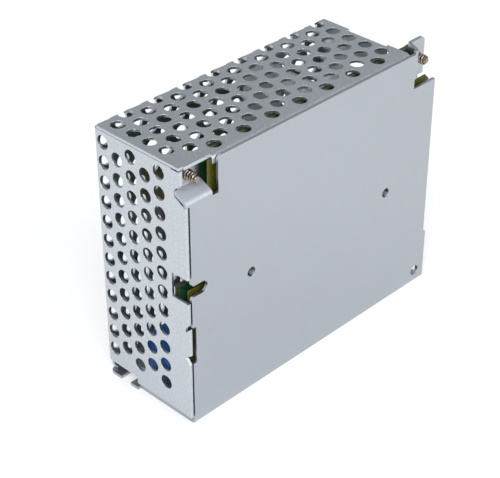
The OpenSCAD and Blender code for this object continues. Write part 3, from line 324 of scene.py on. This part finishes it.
def sleeve_material(name, rgb, node, stripe):
    """Shrunk capacitor sleeve with a paler polarity stripe and a bare scored aluminium top."""
    stripe_w, stripe_soft = 2.0 * MM, 2.4 * MM
    top_h, top_soft = 0.25 * MM, 0.30 * MM
    s = Shade(name)
    low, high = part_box(node)
    wrinkle = s.noise(300, stretch=(1, 0.2, 1))
    body = s.tones(wrinkle, scaled(rgb, 0.85), scaled(rgb, 1.15))
    body = s.mix(s.span(s.axis("Z"), low.z + stripe_soft, low.z + stripe_w), body, stripe)
    metal = s.mix(s.noise(1500), (0.55, 0.56, 0.58), (0.75, 0.76, 0.78))
    top = s.span(s.axis("Y"), high.y - top_soft, high.y - top_h)
    s.color(s.mix(top, body, metal))
    s.put(s.bsdf.inputs["Metallic"], top)
    s.rough(s.spread(wrinkle, 0.24, 0.38))
    s.bump(wrinkle, depth=0.05 * MM)
    return s.material


def dipped(name, rgb):
    """Dipped resin coat: glossy, slightly lumpy."""
    s = Shade(name)
    lump = s.noise(420, detail=2)
    s.color(s.tones(lump, scaled(rgb, 0.82), scaled(rgb, 1.18)))
    s.rough(s.spread(s.noise(1500, detail=2), 0.2, 0.38))
    s.bump(lump, depth=0.12 * MM)
    return s.material


def ferrite_material():
    """Sintered ferrite: dark, matte and finely pitted."""
    s = Shade("ferrite")
    grit = s.noise(3800, detail=4, rough=0.7)
    s.color(s.mix(s.span(grit, 0.35, 0.7), (0.030, 0.030, 0.033), (0.075, 0.074, 0.078)))
    s.rough(s.spread(grit, 0.5, 0.75))
    s.bump(grit, depth=0.02 * MM)
    return s.material


def wire_material():
    """Enamelled copper wire."""
    s = Shade("enamelled_wire", metal=1.0)
    tone = s.noise(700)
    s.color(s.tones(tone, (0.42, 0.13, 0.035), (0.60, 0.23, 0.07)))
    s.rough(s.spread(tone, 0.2, 0.34))
    return s.set(Coat_Weight=0.6, Coat_Roughness=0.12).material


def tape_material():
    """Wound yellow tape, with the edges of its layers."""
    s = Shade("winding_tape")
    layers = s.noise(900, detail=2, stretch=(0.06, 1, 0.06))
    s.color(s.mix(s.span(layers, *STRIPES), (0.58, 0.42, 0.05), (0.74, 0.56, 0.09)))
    s.rough(s.spread(s.noise(500, detail=2), 0.28, 0.42))
    s.bump(layers, depth=0.04 * MM)
    return s.material


def milled_material():
    """Milled aluminium plate with fine lines along its length."""
    s = Shade("milled_aluminium", metal=1.0)
    line = s.noise(1900, rough=0.6, stretch=(1, 1, 0.03))
    s.color(s.tones(line, (0.60, 0.61, 0.63), (0.76, 0.77, 0.79)))
    s.rough(s.spread(line, 0.26, 0.44))
    s.bump(line, depth=0.006 * MM)
    return s.material


def lamp_material():
    """Tinted clear resin of the indicator lamp."""
    s = Shade("lamp_lens")
    haze = s.noise(900, detail=2)
    s.color(s.tones(haze, (0.06, 0.42, 0.10), (0.10, 0.55, 0.16)))
    s.rough(s.spread(haze, 0.08, 0.18))
    return s.set(Transmission_Weight=0.55, IOR=1.5).material


def banded_material():
    """Lacquered resistor bodies with plain colour bands across them."""
    half_band = 0.03
    bands = ((0.30, (0.30, 0.12, 0.04)), (0.42, (0.02, 0.02, 0.02)), (0.54, (0.45, 0.10, 0.02)),
             (0.68, (0.50, 0.36, 0.08)))
    s = Shade("resistor_lacquer")
    low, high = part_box("resistors")
    along = s.span(s.axis("Z"), low.z, high.z)
    body = s.mix(s.noise(600, detail=2), (0.22, 0.36, 0.46), (0.30, 0.45, 0.55))
    for middle, rgb in bands:
        off = s.calc("ABSOLUTE", s.calc("SUBTRACT", along, middle))
        body = s.mix(s.calc("LESS_THAN", off, half_band), body, rgb)
    s.color(body)
    s.rough(s.spread(s.noise(800, detail=2), 0.3, 0.45))
    return s.material


def liner_material():
    """Light fibrous insulating sheet."""
    s = Shade("liner_sheet")
    fibre = s.noise(900, detail=4, rough=0.6, stretch=(1, 1, 0.3))
    s.color(s.tones(fibre, (0.80, 0.81, 0.82), (0.88, 0.89, 0.90)))
    s.rough(s.spread(fibre, 0.42, 0.6))
    s.bump(fibre, depth=0.02 * MM)
    return s.material


def print_material():
    """Worn white print."""
    s = Shade("board_print")
    worn = s.noise(1800)
    s.color(s.tones(worn, (0.62, 0.63, 0.60), (0.78, 0.79, 0.76)))
    s.rough(s.spread(worn, 0.45, 0.65))
    return s.material


def floor_material():
    """Pale floor that reads as white and still takes the object's shadow."""
    s = Shade("floor").set(Roughness=0.9, Emission_Color=(1, 1, 1, 1))
    s.color(s.mix(s.noise(4, detail=2), (0.80, 0.80, 0.81), (0.83, 0.83, 0.83)))
    path = s.add("ShaderNodeLightPath").outputs
    distance = s.measure("LENGTH", s.place)
    seen = s.calc("MULTIPLY", path["Is Camera Ray"], s.span(distance, *FLOOR_SEEN))
    shining = s.calc("MAXIMUM", path["Is Glossy Ray"], path["Is Transmission Ray"])
    # Painted shade: the floor that metal mirrors is dimmer near the object
    mirrored_painted_shade = s.calc("MULTIPLY", shining, s.span(distance, *FLOOR_MIRRORED_PAINTED_SHADE))
    s.put(s.bsdf.inputs["Emission Strength"], s.calc("MAXIMUM", seen, mirrored_painted_shade))
    return s.material


def make_materials():
    """The finish of every CAD node, and that of the threaded zinc screws under the name screws."""
    black = moulded("black_moulding", (0.018, 0.018, 0.020))
    zinc = plated("bright_zinc", ZINC)
    blue_coat = dipped("blue_coating", (0.02, 0.10, 0.34))
    ferrite = ferrite_material()
    milled = milled_material()
    finish = {
        "chassis": sheet_metal("chassis_sheet", (0.49, 0.515, 0.55), speck=0.042, slopes_matte_and_painted_light=True),
        "cover": sheet_metal("cover_sheet", (0.685, 0.725, 0.76), speck=0.21),
        "insulating_film": film_material(),
        "circuit_board": board_material(),
        "board_screws": plated("yellow_zinc", (0.78, 0.68, 0.55), warm=(0.50, 0.41, 0.31), rough=0.14,
                               painted_groove_shade=(0.02, 0.018, 0.016)),
        "screws": plated("zinc_screws", ZINC, painted_groove_shade=(0.10, 0.10, 0.10)),
        "terminal_block": black,
        "contact_plates": plated("tin_plate", (0.70, 0.68, 0.62), rough=0.34),
        "trimmer_body": moulded("blue_moulding", (0.03, 0.10, 0.34)),
        "trimmer_rotor": moulded("white_moulding", (0.72, 0.70, 0.64)),
        "indicator_lamp": lamp_material(),
        "bulk_capacitor_1": sleeve_material("blue_sleeve_1", BLUE_SLEEVE, "bulk_capacitor_1", BLUE_STRIPE),
        "bulk_capacitor_2": sleeve_material("blue_sleeve_2", BLUE_SLEEVE, "bulk_capacitor_2", BLUE_STRIPE),
        "bridge_rectifier": black,
        "interference_capacitor": moulded("yellow_moulding", (0.62, 0.40, 0.03), rough=0.42),
        "mains_fuse": moulded("brown_moulding", (0.13, 0.045, 0.02), rough=0.40),
        "varistor": blue_coat,
        "inrush_thermistor": dipped("dark_coating", (0.03, 0.04, 0.035)),
        "choke_ring": ferrite,
        "choke_windings": wire_material(),
        "transformer_core": ferrite,
        "transformer_bobbin": black,
        "transformer_winding": tape_material(),
        "transistor_heatsink": milled,
        "switching_transistor": black,
        "rectifier_heatsink": milled,
        "output_rectifier": black,
        "output_capacitors": sleeve_material("black_sleeve", (0.025, 0.025, 0.03), "output_capacitors",
                                             (0.30, 0.27, 0.16)),
        "output_inductor": ferrite,
        "safety_capacitors": blue_coat,
        "optocoupler": moulded("grey_moulding", (0.60, 0.60, 0.57)),
        "control_chip": black,
        "resistors": banded_material(),
    }
    for name, obj in nodes.items():
        obj.data.materials.clear()
        obj.data.materials.append(finish.get(name, zinc))
    return finish


def solids(name):
    """The low and high corners of each separate solid of a CAD node."""
    mesh = nodes[name].data
    keys = [tuple(round(c / MICRON) for c in v.co) for v in mesh.vertices]
    parent = {k: k for k in keys}

    def root(k):
        while parent[k] != k:
            parent[k] = parent[parent[k]]
            k = parent[k]
        return k

    for edge in mesh.edges:
        parent[root(keys[edge.vertices[0]])] = root(keys[edge.vertices[1]])
    groups = {}
    for k in sorted(parent):
        groups.setdefault(root(k), []).append(k)
    return sorted((tuple(min(p[i] for p in g) * MICRON for i in range(3)),
                   tuple(max(p[i] for p in g) * MICRON for i in range(3))) for g in groups.values())


def feet(name):
    """Places of the leads that a node puts through the board: the lowest points, one per lead."""
    slack, lead_room = 0.1 * MM, 1.5 * MM
    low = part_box(name)[0].y
    places = []
    for v in nodes[name].data.vertices:
        if v.co.y < low + slack:
            near = [p for p in places if (p[0] - v.co).length < lead_room]
            if near:
                near[0].append(v.co.copy())
            else:
                places.append([v.co.copy()])
    return [sum(p, Vector()) / len(p) for p in places]


def make_piece(name, forms, material, body, stands_for=()):
    """One mesh object from lists of points and faces, riding on a body."""
    bm = bmesh.new()
    for points, faces in forms:
        made = [bm.verts.new(p) for p in points]
        for face in faces:
            bm.faces.new([made[i] for i in face])
    bmesh.ops.recalc_face_normals(bm, faces=bm.faces)
    mesh = bpy.data.meshes.new(name)
    bm.to_mesh(mesh)
    bm.free()
    mesh.polygons.foreach_set("use_smooth", [True] * len(mesh.polygons))
    mesh.set_sharp_from_angle(angle=SHARP_ANGLE)
    mesh.materials.append(material)
    piece = bpy.data.objects.new(name, mesh)
    bpy.context.scene.collection.objects.link(piece)
    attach(piece, body)
    if stands_for:
        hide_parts(*stands_for)


def screw_form(head, shank, length, pitch, recess):
    """A screw with a rolled thread, seated at the origin with its head along +Z.

    The head is a list of (radius, height), from the seat to the rim of the flat with the cross recess.
    """
    sides, steps_a_turn = 32, 8
    thread_depth, crest_width = 0.62, 1.3
    point, recess_taper = 0.15 * MM, 0.62
    core = shank - thread_depth * pitch
    steps = math.ceil(length / pitch * steps_a_turn)
    bm = bmesh.new()
    rings = []
    for j in range(steps + 1):
        z = head[0][1] - length + j * length / steps
        ring = []
        for i in range(sides):
            tooth = 1 - abs(2 * ((z / pitch - i / sides) % 1) - 1)
            r = core + (shank - core) * min(1.0, crest_width * tooth)
            r = min(r, core - point + j * length / steps)
            ring.append((r, i, z))
        rings.append(ring)
    for r, z in head:
        rings.append([(r, i, z) for i in range(sides)])
    rows = [[bm.verts.new((r * math.cos(math.tau * i / sides), r * math.sin(math.tau * i / sides), z))
             for r, i, z in ring] for ring in rings]
    for a, b in zip(rows, rows[1:]):
        for i in range(sides):
            bm.faces.new((a[i], a[(i + 1) % sides], b[(i + 1) % sides], b[i]))
    bm.faces.new(rows[0][::-1])
    half, reach, depth = recess
    outline = [(half, half), (half, reach), (-half, reach), (-half, half), (-reach, half), (-reach, -half),
               (-half, -half), (-half, -reach), (half, -reach), (half, -half), (reach, -half), (reach, half)]
    top = head[-1][1]
    mouth = [bm.verts.new((x, y, top)) for x, y in outline]
    bottom = [bm.verts.new((x * recess_taper, y * recess_taper, top - depth)) for x, y in outline]
    count = len(outline)
    for i in range(count):
        bm.faces.new((mouth[i], mouth[(i + 1) % count], bottom[(i + 1) % count], bottom[i]))
    bm.faces.new(bottom)
    rim = [bm.edges.get((rows[-1][i], rows[-1][(i + 1) % sides])) for i in range(sides)]
    rim += [bm.edges.get((mouth[i], mouth[(i + 1) % count])) for i in range(count)]
    bmesh.ops.triangle_fill(bm, use_beauty=True, edges=rim)
    bm.verts.index_update()
    form = [v.co.copy() for v in bm.verts], [[v.index for v in f.verts] for f in bm.faces]
    bm.free()
    return form


def pan_head(radius, height):
    """The outline of a pan head with a rounded shoulder."""
    flat, wide = 0.66, 0.34
    foot, tall = 0.45, 0.55
    seat_r, chamfer_h = 0.98, 0.06
    steps = 6
    shoulder = [(radius * (flat + wide * math.cos(a)), height * (foot + tall * math.sin(a)))
                for a in (QUARTER_TURN * k / steps for k in range(steps + 1))]
    return [(radius * seat_r, 0.0), (radius, height * chamfer_h)] + shoulder


def tube_form(path, radius):
    """A round wire along a path."""
    sides = 8
    points, faces, normal = [], [], None
    for i, p in enumerate(path):
        ahead = (path[min(i + 1, len(path) - 1)] - path[max(i - 1, 0)]).normalized()
        normal = ahead.orthogonal() if normal is None else normal - ahead * normal.dot(ahead)
        normal.normalize()
        across = ahead.cross(normal)
        for k in range(sides):
            a = math.tau * k / sides
            points.append(p + radius * (math.cos(a) * normal + math.sin(a) * across))
    for i in range(len(path) - 1):
        for k in range(sides):
            n = (k + 1) % sides
            faces.append((i * sides + k, i * sides + n, (i + 1) * sides + n, (i + 1) * sides + k))
    faces.append(tuple(range(sides)))
    faces.append(tuple((len(path) - 1) * sides + k for k in range(sides)))
    return points, faces


def box_form(low, high):
    """A box between two corners."""
    points = [(x, y, z) for x in (low[0], high[0]) for y in (low[1], high[1]) for z in (low[2], high[2])]
    return points, [(0, 1, 3, 2), (4, 6, 7, 5), (0, 4, 5, 1), (2, 3, 7, 6), (0, 2, 6, 4), (1, 5, 7, 3)]


def seated(form, place, turn, stop, k=0):
    """A screw's form moved to its place, turned to its axis and stopped at the angle of the k-th screw."""
    first, step = stop
    matrix = Matrix.Translation(place) @ turn @ Matrix.Rotation(first + step * k, 4, "Z")
    return [matrix @ p for p in form[0]], form[1]


def make_screws(finish):
    """Threaded screws with pressed cross recesses, in the places of the plain CAD screws."""
    along_y = Matrix.Rotation(-QUARTER_TURN, 4, "X")
    downward = Matrix.Rotation(math.pi, 4, "X")
    pan = pan_head(HEAD_R, HEAD_H)
    forms = []
    for k, (low, high) in enumerate(solids("board_screws")):
        place = ((low[0] + high[0]) / 2, high[1] - HEAD_H, (low[2] + high[2]) / 2)
        form = screw_form(pan, SHANK_R, high[1] - HEAD_H - low[1], BOARD_PITCH, CROSS)
        forms.append(seated(form, place, along_y, BOARD_STOP, k))
    make_piece("threaded_board_screws", forms, finish["board_screws"], "case",
               ["board_screws"])

    forms = []
    for k, (low, high) in enumerate(solids("cover_screws")):
        place = ((low[0] + high[0]) / 2, (low[1] + high[1]) / 2, low[2])
        form = screw_form(SUNK_HEAD, SHANK_R, high[2] - low[2] - SUNK_H, SHEET_PITCH, SUNK_CROSS)
        forms.append(seated(form, place, downward, COVER_STOP, k))
    make_piece("threaded_cover_screws", forms, finish["screws"], "case", ["cover_screws"])

    for name, side in (("transistor_screw", -1), ("rectifier_screw", 1)):
        low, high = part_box(name)
        top = high.x if side > 0 else low.x
        place = (top - side * HEAD_H, (low.y + high.y) / 2, (low.z + high.z) / 2)
        form = screw_form(pan, SHANK_R, high.x - low.x - HEAD_H, SHEET_PITCH, CROSS)
        form = seated(form, place, Matrix.Rotation(side * QUARTER_TURN, 4, "Y"), SINK_STOP)
        make_piece("threaded_" + name, [form], finish["screws"], "case", [name])

    pole_head = pan_head(POLE_HEAD_R, POLE_HEAD_H)
    for k in range(1, POLES + 1):
        name = "terminal_screw_%d" % k
        low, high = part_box(name)
        place = ((low.x + high.x) / 2, high.y - POLE_HEAD_H, (low.z + high.z) / 2)
        form = screw_form(pole_head, POLE_SHANK_R, high.y - low.y - POLE_HEAD_H, POLE_PITCH, POLE_CROSS)
        form = seated(form, place, along_y, POLE_STOP, k)
        make_piece("threaded_" + name, [form], finish["screws"], "screw_%d" % k, [name])


def soften(loop):
    """A closed path with its corners smoothed."""
    rounds, count = 2, len(loop)
    for _ in range(rounds):
        loop = [tuple((loop[i - 1][k] + 2 * loop[i][k] + loop[(i + 1) % count][k]) / 4 for k in range(2))
                for i in range(count)]
    return loop


def make_choke_wire(finish):
    """The two windings of the mains choke, with their leads."""
    wire, lead, clearance, ring_w = 0.5 * MM, 0.4 * MM, 0.08 * MM, 3 * MM
    turns, sweep, steps = 10, math.radians(66), 6
    low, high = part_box("choke_ring")
    middle = (low + high) / 2
    stand = wire + clearance
    half_t = (high.x - low.x) / 2 + stand
    outer = (high.z - low.z) / 2 + stand
    inner = (high.z - low.z) / 2 - ring_w - stand
    corners = [(outer, 0), (outer, 1), (inner, 1), (inner, -1), (outer, -1), (outer, 0)]
    lap = []
    for (r0, s0), (r1, s1) in zip(corners, corners[1:]):
        for k in range(steps):
            u = k / steps
            lap.append((r0 + (r1 - r0) * u, (s0 + (s1 - s0) * u) * half_t))
    lap = soften(lap)
    count = turns * len(lap)
    forms = []
    for flip in (0.0, math.pi):
        path = []
        for i in range(count + 1):
            r, x = lap[i % len(lap)]
            a = flip - sweep + 2 * sweep * i / count
            path.append(middle + Vector((x, r * math.sin(a), r * math.cos(a))))
        forms.append(tube_form(path, wire))
    for foot in feet("choke_windings"):
        rise = math.sqrt(outer ** 2 - (foot.z - middle.z) ** 2)
        top = Vector((foot.x, middle.y - rise + wire, foot.z))
        forms.append(tube_form([foot, foot.lerp(top, 0.5), top], lead))
    make_piece("choke_wire", forms, finish["choke_windings"], "case", ["choke_windings"])


def make_inductor_wire(finish):
    """The winding of the output inductor, between the flanges of its drum."""
    wire, turns, steps = 0.36 * MM, 14, 28
    flange, drum_bottom, drum_top = 0.8 * MM, 12.4 * MM, 1.6 * MM
    low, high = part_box("output_inductor")
    middle = (low + high) / 2
    start, end = high.y - drum_bottom, high.y - drum_top
    waist = (high.z - low.z) / 2 - flange + wire
    path = []
    for i in range(turns * steps + 1):
        a = math.tau * i / steps
        rise = start + wire + (end - start - 2 * wire) * i / (turns * steps)
        path.append(Vector((middle.x + waist * math.cos(a), rise, middle.z + waist * math.sin(a))))
    make_piece("inductor_wire", [tube_form(path, wire)], finish["choke_windings"], "case")


def make_liner():
    """Light insulating sheet inside the far wall's plain field, seen through the top's holes."""
    x0, x1, z0, z1, r = 5.0 * MM, 20.0 * MM, 8.0 * MM, 76.5 * MM, 2.5 * MM
    front, back, steps = 0.4 * MM, 0.02 * MM, 6
    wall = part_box("cover")[1].y - COVER_T
    corners = ((x1 - r, z1 - r), (x0 + r, z1 - r), (x0 + r, z0 + r), (x1 - r, z0 + r))
    outline = []
    for start, (cx, cz) in enumerate(corners):
        for k in range(steps + 1):
            a = QUARTER_TURN * (start + k / steps)
            outline.append((cx + r * math.cos(a), cz + r * math.sin(a)))
    count = len(outline)
    points = [(x, y, z) for y in (wall - front, wall - back) for x, z in outline]
    faces = [tuple(range(count)), tuple(range(count, 2 * count))]
    faces += [(i, (i + 1) % count, count + (i + 1) % count, count + i) for i in range(count)]
    make_piece("liner", [(points, faces)], liner_material(), "case")


def make_print():
    """White component outlines printed on the board, without any lettering."""
    line, thick, room = 0.22 * MM, 0.02 * MM, 0.45 * MM
    board_low, board_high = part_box("circuit_board")
    y0, y1 = board_high.y - thick / 2, board_high.y + thick
    forms = []
    for name in PRINTED:
        for low, high in solids(name):
            x0, x1 = max(low[0] - room, board_low.x + line), min(high[0] + room, board_high.x - line)
            z0, z1 = max(low[2] - room, board_low.z + line), min(high[2] + room, board_high.z - line)
            for ax, az, bx, bz in ((x0, z0, x1, z0 + line), (x0, z1 - line, x1, z1),
                                   (x0, z0, x0 + line, z1), (x1 - line, z0, x1, z1)):
                forms.append(box_form((ax, y0, az), (bx, y1, bz)))
    make_piece("board_print", forms, print_material(), "case")


def make_floor():
    """The floor: a wide flat grid under the object."""
    bm = bmesh.new()
    bmesh.ops.create_grid(bm, x_segments=4, y_segments=4, size=FLOOR_HALF)
    mesh = bpy.data.meshes.new("floor")
    bm.to_mesh(mesh)
    bm.free()
    floor = bpy.data.objects.new("floor", mesh)
    bpy.context.scene.collection.objects.link(floor)
    mesh.materials.append(floor_material())


def make_sky():
    """Soft light from all round, a little dimmer on one side."""
    world = bpy.data.worlds.new("studio")
    world.use_nodes = True
    tree = world.node_tree
    background = tree.nodes["Background"]
    background.inputs["Color"].default_value = (*SKY, 1.0)
    facing = tree.nodes.new("ShaderNodeVectorMath")
    facing.operation = "DOT_PRODUCT"
    facing.inputs[1].default_value = Vector(SKY_DIM_SIDE).normalized()
    tree.links.new(tree.nodes.new("ShaderNodeTexCoord").outputs["Generated"], facing.inputs[0])
    fall = tree.nodes.new("ShaderNodeMapRange")
    tree.links.new(facing.outputs["Value"], fall.inputs["Value"])
    for name, value in SKY_FALL.items():
        fall.inputs[name].default_value = value
    tree.links.new(fall.outputs["Result"], background.inputs["Strength"])
    bpy.context.scene.world = world


def make_lights():
    """Two large round lights, turned to the object."""
    for name, (place, size, power) in LIGHTS.items():
        data = bpy.data.lights.new(name, "AREA")
        data.shape = "DISK"
        data.size = size
        data.energy = power
        lamp = bpy.data.objects.new(name, data)
        lamp.location = place
        lamp.rotation_euler = (Vector(LIGHT_AIM) - Vector(place)).to_track_quat("-Z", "Y").to_euler()
        bpy.context.scene.collection.objects.link(lamp)


def make_camera():
    """The camera of the photograph, and a view transform that leaves colours as they are."""
    scene = bpy.context.scene
    camera = bpy.data.cameras.new("camera")
    camera.sensor_width = SENSOR_MM
    camera.lens = LENS_MM
    camera.clip_start = CLIP_START
    holder = bpy.data.objects.new("camera", camera)
    holder.location = CAMERA_PLACE
    holder.rotation_euler = Vector(CAMERA_LOOK).to_track_quat("-Z", "Y").to_euler()
    scene.collection.objects.link(holder)
    scene.camera = holder
    scene.view_settings.view_transform = "Standard"


finish = make_materials()
make_screws(finish)
make_choke_wire(finish)
make_inductor_wire(finish)
make_liner()
make_print()
make_floor()
make_sky()
make_lights()
make_camera()
